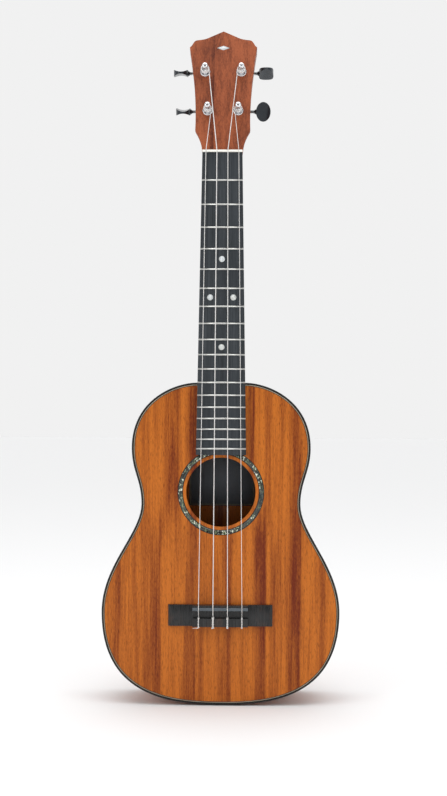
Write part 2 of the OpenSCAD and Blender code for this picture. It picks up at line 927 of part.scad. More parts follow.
module tuner_plate_screws() {
    color(chrome)
        plate_screw_positions()
            difference() {
                union() {
                    translate([0, head_t - screw_l, 0])
                        rotate([-90, 0, 0]) cylinder(r = screw_r, h = screw_l + 1.5, $fn = 24);
                    translate([0, plate_face, 0])
                        rotate([-90, 0, 0]) cylinder(r = screw_head_r, h = screw_head_t, $fn = 32);
                }
                for (a = [0, 90])
                    translate([0, plate_face + screw_head_t, 0])
                        rotate([0, a, 0]) cube([2.6, 1.4, 0.6], center = true);
            }
}

module tuner_bushings() {
    color(chrome)
        for (i = [0 : 3])
            at_tuner(i)
                rotate([-90, 0, 0])
                    rotate_extrude($fn = 64)
                        polygon([[bushing_bore, -flange_t], [flange_r - 0.5, -flange_t],
                            [flange_r, -flange_t + 0.4], [flange_r, 0], [bushing_r, 0],
                            [bushing_r, 8], [bushing_bore, 8]]);
}

// The post: a domed cap, a waist for the string and a flatted stub for the gear
module post(i) {
    color(chrome)
        at_tuner(i)
            rotate([-90, 0, 0])
                difference() {
                    rotate_extrude($fn = 64)
                        polygon([[0, -post_top], [1.6, -post_top + 0.2], [2.4, -post_top + 0.7],
                            [2.85, -post_top + 1.5], [2.85, -post_top + 2.4], [2.5, -9.9], [2.4, -9.4],
                            [2.4, -7.6], [2.5, -7.1], [post_r, -6.4], [post_r, gear_low],
                            [stub_r, gear_low], [stub_r, gear_low + gear_t], [0, gear_low + gear_t]]);
                    for (s = [-1, 1])
                        translate([-5, s > 0 ? stub_flat / 2 : -stub_flat / 2 - 5, gear_low])
                            cube([10, 5, gear_t + 1]);
                    translate([0, 0, gear_low - 2]) cylinder(r = 0.9, h = gear_t + 4, $fn = 24);
                    translate([0, 0, string_hole_y])
                        rotate([90, 0, 0]) cylinder(r = 0.8, h = 10, center = true, $fn = 24);
                }
}

// The gear's teeth stand clear of the worm's thread by a third of a millimetre. A quarter
// of a tooth's turn puts a tooth in the middle of the thread's gap.
gear_phase = 0.25;
module gear(i) {
    tip_half = asin(0.42 / 2 / gear_tip_r);
    root_half = asin(1.3 / 2 / gear_root_r);
    color([0.72, 0.66, 0.5])
        at_tuner(i)
            extrude_y(gear_low, gear_low + gear_t)
                difference() {
                    polygon([for (k = [0 : gear_teeth - 1], p = [[gear_root_r, -root_half],
                        [gear_tip_r, -tip_half], [gear_tip_r, tip_half], [gear_root_r, root_half]])
                        let (a = 90 + 360 * (k + gear_phase) / gear_teeth + p[1])
                            [p[0] * cos(a), p[0] * sin(a)]]);
                    intersection() {
                        circle(stub_r, $fn = 48);
                        square([10, stub_flat], center = true);
                    }
                }
}

module gear_screw(i) {
    color(chrome)
        at_tuner(i)
            rotate([-90, 0, 0])
                difference() {
                    union() {
                        translate([0, 0, gear_low - 2]) cylinder(r = 0.9, h = gear_t + 2.5, $fn = 24);
                        translate([0, 0, gear_low + gear_t]) cylinder(r = 2.8, h = 1.4, $fn = 32);
                    }
                    translate([0, 0, gear_low + gear_t + 1.4]) cube([6, 0.7, 1.4], center = true);
                }
}

// The thread as a surface of rows that follow the helix. Its height ramps up at both ends.
thread_columns = 18;
thread_turns = 3;
crest_half = 0.26;
root_half = 0.7;
thread_rows = [for (k = [0 : thread_turns - 1], p = [[-root_half, 0], [-crest_half, 1], [crest_half, 1],
    [root_half, 0]]) [worm_pitch * k + p[0], p[1]]];
thread_from = -worm_pitch * thread_turns / 2;
function thread_height(x) = min(1, max(0, (-thread_from - crest_half - abs(x)) / 0.7));
function thread_point(row, column) =
    let (
        turn = column / thread_columns,
        x = thread_from + thread_rows[row][0] + worm_pitch * turn,
        r = worm_root_r + (worm_crest_r - worm_root_r) * thread_rows[row][1] * thread_height(x)
    )
    [x, r * cos(360 * turn), r * sin(360 * turn)];

module worm_thread() {
    rows = len(thread_rows);
    columns = thread_columns;
    first = rows * columns;
    low_ring = [for (c = [0 : columns - 1])
        [-worm_half_l, worm_root_r * cos(360 * c / columns), worm_root_r * sin(360 * c / columns)]];
    high_ring = [for (p = low_ring) [worm_half_l, p[1], p[2]]];
    // Vertex of a row and column, where the last column is the first of the row four on
    function vertex(row, column) =
        column < columns ? row * columns + column : (row + 4) * columns;
    function low(column) = first + column % columns;
    function high(column) = first + columns + column % columns;
    body_faces = [for (row = [0 : rows - 2], c = [0 : columns - 1])
        if (c < columns - 1 || row < rows - 5)
            [vertex(row, c), vertex(row + 1, c), vertex(row + 1, c + 1), vertex(row, c + 1)]];
    low_faces = [for (c = [0 : columns - 2]) [low(c), vertex(0, c), vertex(0, c + 1), low(c + 1)]];
    // The last column closes against the first, five rows at once
    low_edge = [for (k = [0 : 4]) vertex(k, 0)];
    low_seam = concat(
        [[low(columns - 1), vertex(0, columns - 1), low_edge[0]], [low(columns - 1), low_edge[0], low(0)]],
        [for (k = [0 : 3]) [vertex(0, columns - 1), low_edge[k + 1], low_edge[k]]]
    );
    high_faces = [for (c = [0 : columns - 2])
        [vertex(rows - 1, c), high(c), high(c + 1), vertex(rows - 1, c + 1)]];
    high_edge = [for (k = [5 : -1 : 1]) vertex(rows - k, columns - 1)];
    high_seam = concat(
        [for (k = [0 : 3]) [high_edge[k], high_edge[k + 1], vertex(rows - 1, 0)]],
        [[high_edge[4], high(columns - 1), vertex(rows - 1, 0)],
            [high(columns - 1), high(0), vertex(rows - 1, 0)]]
    );
    polyhedron(
        concat(
            [for (row = [0 : rows - 1], c = [0 : columns - 1]) thread_point(row, c)],
            low_ring, high_ring
        ),
        concat(
            body_faces, low_faces, low_seam, high_faces, high_seam,
            [[for (c = [0 : columns - 1]) low(c)]],
            [[for (c = [columns - 1 : -1 : 0]) high(c)]]
        ),
        convexity = 8
    );
}

module worm(i) {
    color(chrome)
        at_tuner(i)
            translate([0, worm_y, worm_w]) {
                worm_thread();
                rotate([0, 90, 0])
                    difference() {
                        translate([0, 0, -ear_in - ear_t - 1])
                            cylinder(r = shaft_r, h = ear_in + ear_t + 1 + shaft_end, $fn = 32);
                        cylinder(r = 5, h = 2 * worm_half_l - 1, center = true, $fn = 32);
                    }
            }
}

// The button: an oval whose two faces are hollowed, on a tapered collar
module button(i) {
    hollow = (button_t - button_waist) / 2;
    hollow_r = (pow(button_l / 2 - 0.8, 2) + pow(hollow, 2)) / (2 * hollow);
    color(black_plastic)
        at_tuner(i)
            translate([button_x, worm_y, worm_w])
                rotate([button_turn[i], 0, 0]) {
                    difference() {
                        union() {
                            difference() {
                                extrude_y(-button_t / 2, button_t / 2)
                                    polygon([for (a = [0 : 6 : 354])
                                        [button_l / 2 * cos(a), button_h / 2 * sin(a)]]);
                                for (s = [-1, 1])
                                    translate([0, s * (button_waist / 2 + hollow_r), 0])
                                        cylinder(r = hollow_r, h = button_h + 2, center = true, $fn = 96);
                            }
                            translate([collar_x - button_x, 0, 0])
                                rotate([0, 90, 0]) cylinder(r1 = 1.9, r2 = 2.7, h = collar_l, $fn = 32);
                        }
                        translate([collar_x - button_x - 1, 0, 0])
                            rotate([0, 90, 0])
                                cylinder(r = shaft_r, h = shaft_end - collar_x + 1, $fn = 32);
                    }
                }
}

module post_g() { post(0); }
module post_c() { post(1); }
module post_e() { post(2); }
module post_a() { post(3); }
module gear_g() { gear(0); }
module gear_c() { gear(1); }
module gear_e() { gear(2); }
module gear_a() { gear(3); }
module gear_screw_g() { gear_screw(0); }
module gear_screw_c() { gear_screw(1); }
module gear_screw_e() { gear_screw(2); }
module gear_screw_a() { gear_screw(3); }
module worm_g() { worm(0); }
module worm_c() { worm(1); }
module worm_e() { worm(2); }
module worm_a() { worm(3); }
module button_g() { button(0); }
module button_c() { button(1); }
module button_e() { button(2); }
module button_a() { button(3); }

top();
back();
side_bass();
side_treble();
binding_top();
binding_back();
purfling_pale();
purfling_dark();
neck_block();
tail_block();
linings_top();
linings_back();
top_transverse_braces();
top_fan_braces();
bridge_plate();
back_braces();
rosette_shell();
rosette_borders();
label();
neck();
heel_cap();
headstock();
fingerboard();
frets();
position_dots();
nut();
headstock_veneer();
headstock_inlay();
bridge();
saddle();
string_g();
string_c();
string_e();
string_a();
tuner_plates();
tuner_plate_screws();
tuner_bushings();
post_g();
post_c();
post_e();
post_a();
gear_g();
gear_c();
gear_e();
gear_a();
gear_screw_g();
gear_screw_c();
gear_screw_e();
gear_screw_a();
worm_g();
worm_c();
worm_e();
worm_a();
button_g();
button_c();
button_e();
button_a();
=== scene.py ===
import math

import bpy
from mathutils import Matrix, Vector


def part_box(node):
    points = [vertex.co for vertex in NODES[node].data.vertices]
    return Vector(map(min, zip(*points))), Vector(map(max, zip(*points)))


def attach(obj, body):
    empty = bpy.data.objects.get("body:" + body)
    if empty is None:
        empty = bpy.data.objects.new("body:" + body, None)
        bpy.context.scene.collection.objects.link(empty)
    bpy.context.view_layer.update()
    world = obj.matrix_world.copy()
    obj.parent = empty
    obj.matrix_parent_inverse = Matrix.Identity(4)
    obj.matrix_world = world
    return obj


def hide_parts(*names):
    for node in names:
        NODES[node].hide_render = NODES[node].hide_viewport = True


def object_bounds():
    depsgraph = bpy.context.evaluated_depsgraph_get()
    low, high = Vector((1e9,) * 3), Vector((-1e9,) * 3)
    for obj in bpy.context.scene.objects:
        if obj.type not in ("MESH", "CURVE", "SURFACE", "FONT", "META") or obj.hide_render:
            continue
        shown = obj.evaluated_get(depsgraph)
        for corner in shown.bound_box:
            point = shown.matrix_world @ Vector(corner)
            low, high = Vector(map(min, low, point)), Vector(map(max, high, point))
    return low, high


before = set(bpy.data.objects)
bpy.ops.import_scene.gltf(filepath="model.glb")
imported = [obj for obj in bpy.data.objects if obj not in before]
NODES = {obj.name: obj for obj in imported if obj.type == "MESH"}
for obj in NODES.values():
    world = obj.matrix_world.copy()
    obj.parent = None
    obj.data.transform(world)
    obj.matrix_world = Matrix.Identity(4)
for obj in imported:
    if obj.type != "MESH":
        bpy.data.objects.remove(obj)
CAD_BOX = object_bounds()
MM = 0.001

# The strings from the bass side to the treble side
STRINGS = ("g", "c", "e", "a")


# Geometry ------------------------------------------------------------------------------

def catmull(points, steps):
    """A smooth route through the points."""
    ends = [2 * points[0] - points[1], *points, 2 * points[-1] - points[-2]]
    route = []
    for i in range(1, len(ends) - 2):
        a, b, c, d = ends[i - 1:i + 3]
        for k in range(steps):
            t = k / steps
            route.append(0.5 * (2 * b + (c - a) * t + (2 * a - 5 * b + 4 * c - d) * t ** 2
                                + (3 * b - a - 3 * c + d) * t ** 3))
    return route + [points[-1]]


# A tube's rounded end, as (distance past the route's end, ring radius) in tube radii
END_RINGS = ((0.35, 0.94), (0.7, 0.72), (0.95, 0.3))


def sweep(route, radius, sides=12):
    """Vertices and faces of a round tube along a route, with rounded ends."""
    verts = []
    faces = []
    tangents = []
    for i in range(len(route)):
        before = route[max(i - 1, 0)]
        after = route[min(i + 1, len(route) - 1)]
        tangents.append((after - before).normalized())
    normal = tangents[0].orthogonal().normalized()
    first = [(route[0] - tangents[0] * radius * past, tangents[0], radius * share)
             for past, share in END_RINGS[::-1]]
    last = [(route[-1] + tangents[-1] * radius * past, tangents[-1], radius * share)
            for past, share in END_RINGS]
    rings = first + [(p, t, radius) for p, t in zip(route, tangents)] + last
    for place, tangent, r in rings:
        normal = (normal - tangent * normal.dot(tangent)).normalized()
        across = tangent.cross(normal)
        for k in range(sides):
            a = 2 * math.pi * k / sides
            verts.append(place + r * (math.cos(a) * normal + math.sin(a) * across))
    for i in range(len(rings) - 1):
        for k in range(sides):
            n = (k + 1) % sides
            faces.append((i * sides + k, i * sides + n, (i + 1) * sides + n, (i + 1) * sides + k))
    faces.append(tuple(range(sides - 1, -1, -1)))
    top = (len(rings) - 1) * sides
    faces.append(tuple(range(top, top + sides)))
    return verts, faces


def joined(parts):
    """Several (vertices, faces) as one."""
    verts = []
    faces = []
    for part_verts, part_faces in parts:
        start = len(verts)
        verts += part_verts
        faces += [tuple(start + i for i in face) for face in part_faces]
    return verts, faces


def piece(name, shape, material, body="root", replaces=()):
    """A new mesh that rides on a body and may stand for CAD nodes."""
    mesh = bpy.data.meshes.new(name)
    mesh.from_pydata([tuple(v) for v in shape[0]], [], shape[1])
    mesh.validate()
    mesh.polygons.foreach_set("use_smooth", [True] * len(mesh.polygons))
    mesh.materials.append(material)
    made = bpy.data.objects.new(name, mesh)
    bpy.context.scene.collection.objects.link(made)
    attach(made, body)
    if replaces:
        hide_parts(*replaces)
    return made


# Vertices nearer than WELD_REACH are one, and edges sharper than EDGE_ANGLE are rounded
WELD_REACH = 0.00001
FLAT_ANGLE = 0.5
EDGE_ANGLE = 32
EDGE_SEGMENTS = 2


def finish_node(name, material, edge):
    """Gives a CAD node its material and smooth shading, and rounds its sharp edges a little."""
    node = NODES[name]
    mesh = node.data
    mesh.materials.clear()
    mesh.materials.append(material)
    if "custom_normal" in mesh.attributes:
        mesh.attributes.remove(mesh.attributes["custom_normal"])
    mesh.polygons.foreach_set("use_smooth", [True] * len(mesh.polygons))
    weld = node.modifiers.new("weld", "WELD")
    weld.merge_threshold = WELD_REACH
    flat = node.modifiers.new("flat", "DECIMATE")
    flat.decimate_type = "DISSOLVE"
    flat.angle_limit = math.radians(FLAT_ANGLE)
    if edge:
        bevel = node.modifiers.new("edges", "BEVEL")
        bevel.width = edge
        bevel.segments = EDGE_SEGMENTS
        bevel.limit_method = "ANGLE"
        bevel.angle_limit = math.radians(EDGE_ANGLE)
        bevel.harden_normals = True
        bevel.miter_outer = "MITER_ARC"
    return node


# Materials -----------------------------------------------------------------------------

class Paint:
    """A principled material with short calls for its nodes."""

    def __init__(self, name, **sockets):
        self.material = bpy.data.materials.new(name)
        self.material.use_nodes = True
        self.tree = self.material.node_tree
        self.shader = self.tree.nodes["Principled BSDF"]
        for socket, value in sockets.items():
            self.shader.inputs[socket.replace("_", " ")].default_value = value
        self.place = self.node("ShaderNodeTexCoord").outputs["Object"]

    def node(self, kind, inputs=(), **settings):
        """A new node: its inputs are linked to sockets or set to values."""
        made = self.tree.nodes.new(kind)
        for key, value in settings.items():
            setattr(made, key, value)
        for key, value in dict(inputs).items():
            if isinstance(value, bpy.types.NodeSocket):
                self.tree.links.new(value, made.inputs[key])
            else:
                made.inputs[key].default_value = value
        return made

    def noise(self, scale, detail=3.0, rough=0.5, distort=0.0, shift=(0, 0, 0), turn=(0, 0, 0)):
        """Noise with its own number of features a metre along each axis."""
        inputs = {"Vector": self.place, "Scale": scale, "Rotation": turn, "Location": shift}
        vector = self.node("ShaderNodeMapping", inputs).outputs[0]
        inputs = {"Vector": vector, "Scale": 1.0, "Detail": detail,
                  "Roughness": rough, "Distortion": distort}
        return self.node("ShaderNodeTexNoise", inputs).outputs["Fac"]

    def math(self, operation, a, b=0.0, clamp=False):
        made = self.node("ShaderNodeMath", {0: a, 1: b}, operation=operation, use_clamp=clamp)
        return made.outputs[0]

    def step(self, value, low, high, to_low=0.0, to_high=1.0):
        """A smooth step from to_low to to_high."""
        inputs = {"Value": value, "From Min": low, "From Max": high,
                  "To Min": to_low, "To Max": to_high}
        made = self.node("ShaderNodeMapRange", inputs, interpolation_type="SMOOTHSTEP")
        return made.outputs[0]

    def ramp(self, value, stops, kind="LINEAR"):
        """A colour for each value, through stops given as (position, colour)."""
        made = self.node("ShaderNodeValToRGB", {0: value})
        made.color_ramp.interpolation = kind
        elements = made.color_ramp.elements
        while len(elements) < len(stops):
            elements.new(1.0)
        for element, (position, colour) in zip(elements, sorted(stops, key=lambda s: s[0])):
            element.position = position
            element.color = (*colour, 1.0)
        return made.outputs["Color"]

    def mix(self, factor, a, b):
        """Colour a where the factor is 0, and colour b where it is 1."""
        made = self.node("ShaderNodeMix", data_type="RGBA", blend_type="MIX")
        for index, value in ((0, factor), (6, a), (7, b)):
            if isinstance(value, bpy.types.NodeSocket):
                self.tree.links.new(value, made.inputs[index])
            elif index == 0:
                made.inputs[index].default_value = value
            else:
                made.inputs[index].default_value = (*value, 1.0)
        return made.outputs[2]

    def set(self, socket, value):
        self.tree.links.new(value, self.shader.inputs[socket])

    def bump(self, height, distance, strength=1.0):
        inputs = {"Height": height, "Distance": distance, "Strength": strength}
        self.set("Normal", self.node("ShaderNodeBump", inputs).outputs[0])


def srgb(r, g, b):
    """A colour given as it looks on a screen, 0 to 255, in linear light."""
    return tuple((c / 255 / 12.92) if c / 255 <= 0.04045 else ((c / 255 + 0.055) / 1.055) ** 2.4
                 for c in (r, g, b))


# Dark ribbons in the soundboard's veneer, with painted shadow of the fingerboard among the upper ones,
# as (distance from the centre line, half width, strength), in millimetres
RIBBONS_LOW = ((-101, 6, 0.5), (-63, 7, 0.7), (-28, 5, 0.7), (4, 6, 0.6), (37, 6, 0.9), (53, 3, 0.55),
               (71, 6, 0.75), (96, 4, 0.4))
# The upper entry at 27 is painted shadow of the fingerboard, and the one at -28 is partly ribbon, partly
# its painted shadow
RIBBONS_AND_SHADE_HIGH = ((-72, 4, 0.4), (-47, 6, 0.65), (-28, 4, 0.75), (2, 5, 0.4), (27, 3, 0.7), (43, 3, 0.5),
                (71, 6, 0.7))
RIBBONS_HEAD = ((-11, 2, 0.85), (4, 2.5, 0.3), (20, 2, 0.4))
# A ribbon's darkness across its width, as (distance in half widths, share of its strength)
RIBBON_BELL = ((-1.9, 0.0), (-0.3, 0.85), (0.7, 1.0), (1.25, 0.0))
# Farthest place from the centre line that a ribbon may reach, in millimetres
RIBBON_REACH = 125.0
# Heights between which the lower ribbons turn into the upper ones, and the ribbons' sway, in metres
RIBBON_CHANGE = (-0.375, -0.31)
RIBBON_SWAY = 0.012


def ribbon_ramp(paint, across, ribbons):
    """Darkness across the board, 0 to 1: a bell for each ribbon."""
    stops = []
    for centre, half, strength in ribbons:
        for offset, share in RIBBON_BELL:
            at = (centre + offset * half + RIBBON_REACH) / (2 * RIBBON_REACH)
            stops.append((min(max(at, 0.0), 1.0), (share * strength,) * 3))
    u = paint.step(across, -RIBBON_REACH * MM, RIBBON_REACH * MM)
    u.node.interpolation_type = "LINEAR"
    return paint.ramp(u, stops, "EASE")


def mahogany(name, light, dark, ribbons=None, figure=0.35, seed=0.0, gloss=0.36, pore=0.5):
    """Ribbon-figured mahogany under satin lacquer: grain along z, pores, streaks and bands."""
    paint = Paint(name, Roughness=gloss, Coat_Weight=0.05, Coat_Roughness=0.22, Specular_IOR_Level=0.16)
    shift = (seed, seed * 0.7, seed * 1.3)
    parts = paint.node("ShaderNodeSeparateXYZ", {0: paint.place})
    bands = paint.noise((40, 40, 1.3), 4.0, 0.55, 0.4, shift=shift)
    patches = paint.noise((130, 130, 10), 3.0, 0.5, 0.3, shift=shift)
    streaks = paint.noise((680, 680, 15), 3.0, 0.6, 0.2, shift=shift)
    fine = paint.noise((1500, 1500, 240), 3.0, 0.7, 0.0, shift=shift)
    threads = paint.noise((190, 190, 7), 4.0, 0.6, 0.5, shift=shift)
    pores = paint.step(paint.noise((1500, 1500, 170), 2.0, 0.5, 0.15, shift=shift), 0.55, 0.7)
    darkness = paint.step(bands, 0.42, 0.66, 0.0, figure)
    if ribbons:
        wander = paint.noise((6, 1, 2.6), 2.0, 0.5, shift=shift)
        sway = paint.math("MULTIPLY", paint.math("SUBTRACT", wander, 0.5), RIBBON_SWAY)
        across = paint.math("ADD", parts.outputs[0], sway)
        low, high = (ribbon_ramp(paint, across, r) for r in ribbons)
        part = paint.step(parts.outputs[2], *RIBBON_CHANGE)
        ribbon = paint.mix(part, low, high)
        worn = paint.step(paint.noise((55, 55, 5), 3.0, 0.6, shift=shift), 0.25, 0.62, 0.6, 1.0)
        ribbon = paint.math("MULTIPLY", ribbon, worn)
        darkness = paint.math("MAXIMUM", darkness, ribbon)
    darkness = paint.math("ADD", darkness, paint.step(patches, 0.35, 0.7, -0.08, 0.12))
    darkness = paint.math("ADD", darkness, paint.step(threads, 0.36, 0.64, -0.14, 0.17))
    darkness = paint.math("ADD", darkness, paint.step(streaks, 0.3, 0.72, -0.12, 0.22))
    darkness = paint.math("ADD", darkness, paint.step(fine, 0.3, 0.7, -0.16, 0.2), clamp=True)
    middle = tuple(0.55 * a + 0.45 * b for a, b in zip(light, dark))
    colour = paint.ramp(darkness, [(0.0, light), (0.45, middle), (1.0, dark)])
    pore_colour = tuple(0.42 * c for c in dark)
    colour = paint.mix(paint.math("MULTIPLY", pores, pore), colour, pore_colour)
    paint.set("Base Color", colour)
    rough = paint.step(streaks, 0.3, 0.75, gloss - 0.05, gloss + 0.1)
    paint.set("Roughness", paint.math("ADD", rough, paint.math("MULTIPLY", pores, 0.12)))
    height = paint.math("SUBTRACT", paint.math("MULTIPLY", fine, 0.35), pores)
    paint.bump(height, 0.00004, 0.5)
    return paint.material


def dark_wood(name, base, light, gloss=0.42, turn=(0, 0, 0), warm=None):
    """A near-black oiled hardwood with fine streaks along z, or across after a turn."""
    paint = Paint(name, Roughness=gloss, Specular_IOR_Level=0.36)
    streaks = paint.noise((700, 700, 14), 4.0, 0.62, 0.2, turn=turn)
    broad = paint.noise((90, 90, 6), 3.0, 0.5, 0.3, turn=turn)
    pores = paint.step(paint.noise((2100, 2100, 100), 2.0, 0.5, turn=turn), 0.6, 0.7)
    tone = paint.math("ADD", paint.step(streaks, 0.3, 0.75, 0.0, 0.6),
                      paint.step(broad, 0.35, 0.7, 0.0, 0.4))
    colour = paint.ramp(tone, [(0.0, base), (1.0, light)])
    if warm:
        glow = paint.step(paint.noise((60, 60, 25), 3.0, 0.6, 0.5, turn=turn), 0.5, 0.72, 0.0, 0.6)
        colour = paint.mix(glow, colour, warm)
    colour = paint.mix(paint.math("MULTIPLY", pores, 0.5), colour, tuple(0.4 * c for c in base))
    paint.set("Base Color", colour)
    paint.set("Roughness", paint.step(streaks, 0.3, 0.75, gloss - 0.05, gloss + 0.12))
    paint.bump(paint.math("SUBTRACT", paint.math("MULTIPLY", streaks, 0.5), pores), 0.00005, 0.6)
    return paint.material


def raw_wood(name, light, dark, turn=(0, 0, 0)):
    """Unfinished spruce with its growth rings as fine lines."""
    paint = Paint(name, Roughness=0.75)
    rings = paint.noise((420, 420, 4), 2.0, 0.5, 0.15, turn=turn)
    tone = paint.math("ADD", paint.step(rings, 0.4, 0.62, 0.0, 0.7),
                      paint.step(paint.noise((1800, 1800, 60), 2.0, turn=turn), 0.4, 0.7, 0.0, 0.3))
    paint.set("Base Color", paint.ramp(tone, [(0.0, light), (1.0, dark)]))
    paint.set("Roughness", paint.step(rings, 0.3, 0.7, 0.68, 0.82))
    paint.bump(rings, 0.00006, 0.5)
    return paint.material


def plastic(name, colour, gloss=0.2, variation=0.12):
    """Moulded or polished plastic with faint handling marks."""
    paint = Paint(name, Roughness=gloss, Coat_Weight=0.05, Coat_Roughness=0.1, Specular_IOR_Level=0.35)
    cloud = paint.noise((90, 90, 90), 4.0, 0.6, 0.3)
    scuffs = paint.noise((900, 300, 700), 4.0, 0.7, 0.8)
    lighter = tuple(min(1.0, c * (1 + variation) + 0.004) for c in colour)
    darker = tuple(c * (1 - variation) for c in colour)
    paint.set("Base Color", paint.ramp(cloud, [(0.3, darker), (0.7, lighter)]))
    paint.set("Roughness", paint.step(scuffs, 0.35, 0.75, gloss - 0.04, gloss + 0.14))
    paint.bump(scuffs, 0.00002, 0.25)
    return paint.material


def metal(name, colour, gloss=0.12, brushed=(900, 900, 900)):
    """Plated metal with smudges and fine polishing lines."""
    paint = Paint(name, Metallic=1.0, Roughness=gloss)
    smudge = paint.noise((260, 260, 260), 4.0, 0.6, 0.4)
    lines = paint.noise(brushed, 3.0, 0.6)
    darker = tuple(c * 0.86 for c in colour)
    paint.set("Base Color", paint.ramp(smudge, [(0.3, darker), (0.62, colour)]))
    tone = paint.math("ADD", paint.step(smudge, 0.35, 0.75, gloss - 0.03, gloss + 0.09),
                      paint.step(lines, 0.4, 0.7, 0.0, 0.05))
    paint.set("Roughness", tone)
    paint.bump(lines, 0.000008, 0.4)
    return paint.material


def nylon(name, colour):
    """Translucent white nylon."""
    paint = Paint(name, Roughness=0.28, Subsurface_Weight=0.25, Subsurface_Scale=0.0006)
    paint.shader.inputs["Subsurface Radius"].default_value = (1.0, 0.95, 0.9)
    tone = paint.noise((1500, 1500, 300), 2.0, 0.5)
    paint.set("Base Color", paint.ramp(tone, [(0.3, tuple(c * 0.9 for c in colour)), (0.7, colour)]))
    paint.set("Roughness", paint.step(tone, 0.3, 0.7, 0.22, 0.36))
    paint.bump(tone, 0.00001, 0.3)
    return paint.material


def shell(name, tints, cell):
    """Polished shell: small chips that each shine differently, with growth lines."""
    paint = Paint(name, Roughness=0.16, Coat_Weight=0.5, Coat_Roughness=0.06)
    warp = paint.node("ShaderNodeTexNoise", {"Vector": paint.place, "Scale": 420.0, "Detail": 3.0})
    push = paint.node("ShaderNodeVectorMath", {0: warp.outputs["Color"], 1: (0.0035, 0.0035, 0.0035)},
                      operation="MULTIPLY")
    place = paint.node("ShaderNodeVectorMath", {0: paint.place, 1: push.outputs[0]}, operation="ADD")
    chips = paint.node("ShaderNodeTexVoronoi", {"Vector": place.outputs[0], "Scale": cell})
    value = paint.node("ShaderNodeSeparateColor", {0: chips.outputs["Color"]}).outputs[0]
    growth = paint.node("ShaderNodeTexWave", {"Vector": place.outputs[0], "Scale": 130.0,
                                             "Distortion": 9.0, "Detail": 3.0, "Detail Scale": 2.0})
    tone = paint.math("ADD", paint.math("MULTIPLY", value, 0.72),
                      paint.math("MULTIPLY", growth.outputs["Fac"], 0.28))
    paint.set("Base Color", paint.ramp(tone, tints))
    paint.set("Roughness", paint.step(growth.outputs["Fac"], 0.0, 1.0, 0.1, 0.3))
    paint.bump(growth.outputs["Fac"], 0.00002, 0.3)
    return paint.material


# The label's border line: its distance from the paper's edge, and where it fades, in metres
BORDER_IN = 0.0013
BORDER_FADE = (0.0002, 0.0005)


def label_paper(name):
    """Dark printed paper with a thin pale border near its edge."""
    low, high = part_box("label")
    paint = Paint(name, Roughness=0.7)
    parts = paint.node("ShaderNodeSeparateXYZ", {0: paint.place})
    lines = []
    for axis in (0, 2):
        middle = (low[axis] + high[axis]) / 2
        half = (high[axis] - low[axis]) / 2
        from_edge = paint.math("SUBTRACT", half, paint.math(
            "ABSOLUTE", paint.math("SUBTRACT", parts.outputs[axis], middle)))
        lines.append(from_edge)
    edge = paint.math("MINIMUM", lines[0], lines[1])
    near = paint.math("ABSOLUTE", paint.math("SUBTRACT", edge, BORDER_IN))
    border = paint.step(near, *BORDER_FADE, 1.0, 0.0)
    fibre = paint.noise((1400, 1400, 1400), 4.0, 0.7)
    ground = paint.ramp(fibre, [(0.3, srgb(100, 107, 114)), (0.7, srgb(122, 128, 134))])
    paint.set("Base Color", paint.mix(border, ground, srgb(178, 172, 146)))
    paint.set("Roughness", paint.step(fibre, 0.3, 0.7, 0.6, 0.8))
    paint.bump(fibre, 0.00003, 0.4)
    return paint.material


ACROSS = (0, math.pi / 2, 0)
# The soundboard's upper ribbons include painted shadow of the fingerboard on both of its sides
TOP_WOOD = mahogany("top_mahogany", srgb(200, 112, 38), srgb(110, 40, 15),
                    ribbons=(RIBBONS_LOW, RIBBONS_AND_SHADE_HIGH), figure=0.25, seed=1.3)
BODY_WOOD = mahogany("body_mahogany", srgb(190, 108, 48), srgb(110, 50, 24), figure=0.8, seed=4.1)
NECK_WOOD = mahogany("neck_mahogany", srgb(160, 88, 56), srgb(98, 48, 32), figure=0.5, seed=7.7,
                     pore=0.45)
HEAD_WOOD = mahogany("veneer_mahogany", srgb(164, 90, 58), srgb(88, 42, 30), figure=0.35, seed=2.6,
                     pore=0.3, ribbons=(RIBBONS_HEAD, RIBBONS_HEAD))
INNER_WOOD = raw_wood("inner_spruce", srgb(214, 178, 128), srgb(176, 132, 84), turn=ACROSS)
BOARD_WOOD = dark_wood("board_ebony", srgb(34, 39, 43), srgb(66, 71, 76), gloss=0.46)
BRIDGE_WOOD = dark_wood("bridge_ebony", srgb(26, 27, 28), srgb(50, 50, 50), gloss=0.26, turn=ACROSS,
                        warm=srgb(74, 56, 46))
BLACK_PLASTIC = plastic("binding_black", srgb(14, 15, 16), gloss=0.34)
BUTTON_PLASTIC = plastic("button_black", srgb(34, 41, 47), gloss=0.16)
SADDLE_PLASTIC = plastic("saddle_black", srgb(84, 92, 98), gloss=0.2)
PALE_PLASTIC = plastic("purfling_pale", srgb(178, 164, 140), gloss=0.3, variation=0.1)
BONE = plastic("nut_bone", srgb(240, 238, 230), gloss=0.3, variation=0.04)
CHROME = metal("tuner_chrome", (0.78, 0.79, 0.81), gloss=0.1)
FRET_METAL = metal("fret_silver", (0.78, 0.78, 0.75), gloss=0.3, brushed=(60, 2600, 2600))
NICKEL = metal("shaft_nickel", (0.84, 0.84, 0.83), gloss=0.36)
BRASS = metal("gear_brass", (0.68, 0.56, 0.33), gloss=0.26)
NYLON = nylon("string_nylon", (0.82, 0.8, 0.78))
ABALONE = shell("abalone", [(0.0, srgb(20, 25, 25)), (0.3, srgb(40, 52, 44)),
                            (0.46, srgb(72, 62, 60)), (0.58, srgb(62, 86, 62)),
                            (0.7, srgb(98, 108, 76)), (0.78, srgb(150, 166, 132)),
                            (0.86, srgb(245, 248, 232))], cell=430.0)
PEARL = shell("pearl", [(0.0, srgb(196, 200, 198)), (0.4, srgb(224, 226, 222)),
                        (0.7, srgb(206, 214, 220)), (1.0, srgb(246, 246, 242))], cell=120.0)
LABEL = label_paper("label_print")

